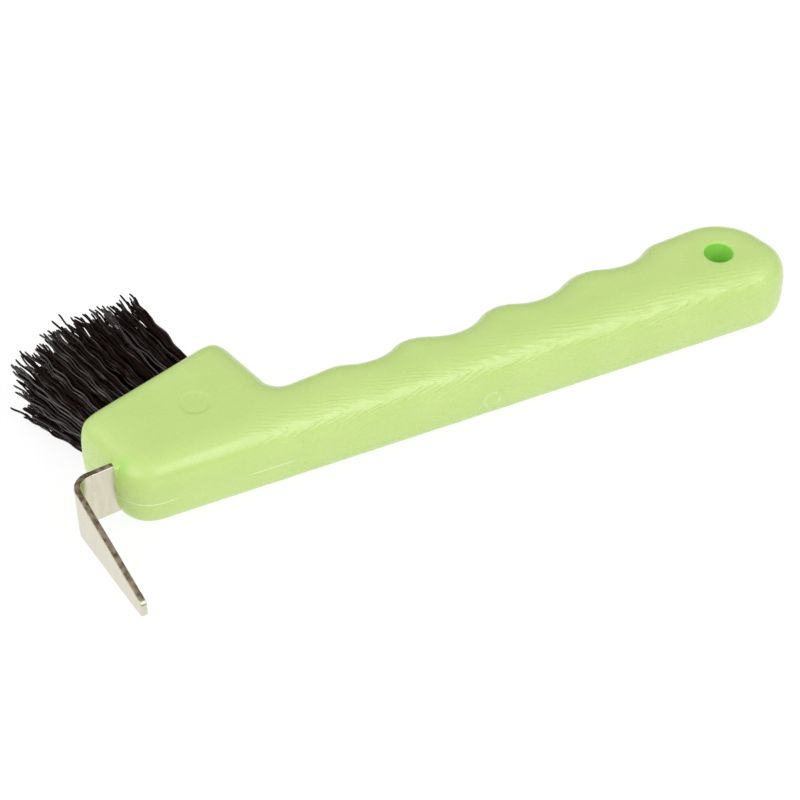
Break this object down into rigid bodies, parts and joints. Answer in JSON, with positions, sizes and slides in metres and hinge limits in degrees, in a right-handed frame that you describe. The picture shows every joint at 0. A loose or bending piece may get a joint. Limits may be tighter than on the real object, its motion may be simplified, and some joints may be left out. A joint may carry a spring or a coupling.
{
  "type": "hoof pick",
  "caption": "Hoof pick with a finger-grooved moulded grip, a bent steel hook and a stiff brush of crimped bristles on the head, and a hanging hole in the tail.",
  "frame": {"origin": "bottom centre of the whole object's box, lying on its broad side", "axes": "+X from the head to the hanging hole, +Y to the finger grooves and the brush, +Z through the thickness"},
  "size_m": [0.1802, 0.0856, 0.02],
  "materials": {
    "handle_plastic": "light green moulded plastic, semi-gloss, with shallow embossed wood grain on the grip",
    "hook_steel": "nickel-plated pressed steel strap with worn sheared edges",
    "bristle": "near-black crimped plastic filament with a slight sheen",
    "anchor_wire": "flat drawn wire"
  },
  "bodies": {
    "root": {"handle": "handle_plastic", "pick_hook": "hook_steel", "tuft_c1_r1": "bristle", "tuft_c1_r2": "bristle", "tuft_c1_r3": "bristle", "tuft_c2_r1": "bristle", "tuft_c2_r2": "bristle", "tuft_c2_r3": "bristle", "tuft_c3_r1": "bristle", "tuft_c3_r2": "bristle", "tuft_c3_r3": "bristle", "tuft_c4_r1": "bristle", "tuft_c4_r2": "bristle", "tuft_c4_r3": "bristle", "tuft_c5_r1": "bristle", "tuft_c5_r2": "bristle", "tuft_c5_r3": "bristle", "tuft_c6_r1": "bristle", "tuft_c6_r2": "bristle", "tuft_c6_r3": "bristle", "tuft_c7_r1": "bristle", "tuft_c7_r2": "bristle", "tuft_c7_r3": "bristle", "tuft_c8_r1": "bristle", "tuft_c8_r2": "bristle", "tuft_c8_r3": "bristle", "anchor_c1_r1": "anchor_wire", "anchor_c1_r2": "anchor_wire", "anchor_c1_r3": "anchor_wire", "anchor_c2_r1": "anchor_wire", "anchor_c2_r2": "anchor_wire", "anchor_c2_r3": "anchor_wire", "anchor_c3_r1": "anchor_wire", "anchor_c3_r2": "anchor_wire", "anchor_c3_r3": "anchor_wire", "anchor_c4_r1": "anchor_wire", "anchor_c4_r2": "anchor_wire", "anchor_c4_r3": "anchor_wire", "anchor_c5_r1": "anchor_wire", "anchor_c5_r2": "anchor_wire", "anchor_c5_r3": "anchor_wire", "anchor_c6_r1": "anchor_wire", "anchor_c6_r2": "anchor_wire", "anchor_c6_r3": "anchor_wire", "anchor_c7_r1": "anchor_wire", "anchor_c7_r2": "anchor_wire", "anchor_c7_r3": "anchor_wire", "anchor_c8_r1": "anchor_wire", "anchor_c8_r2": "anchor_wire", "anchor_c8_r3": "anchor_wire"}
  },
  "joints": []
}
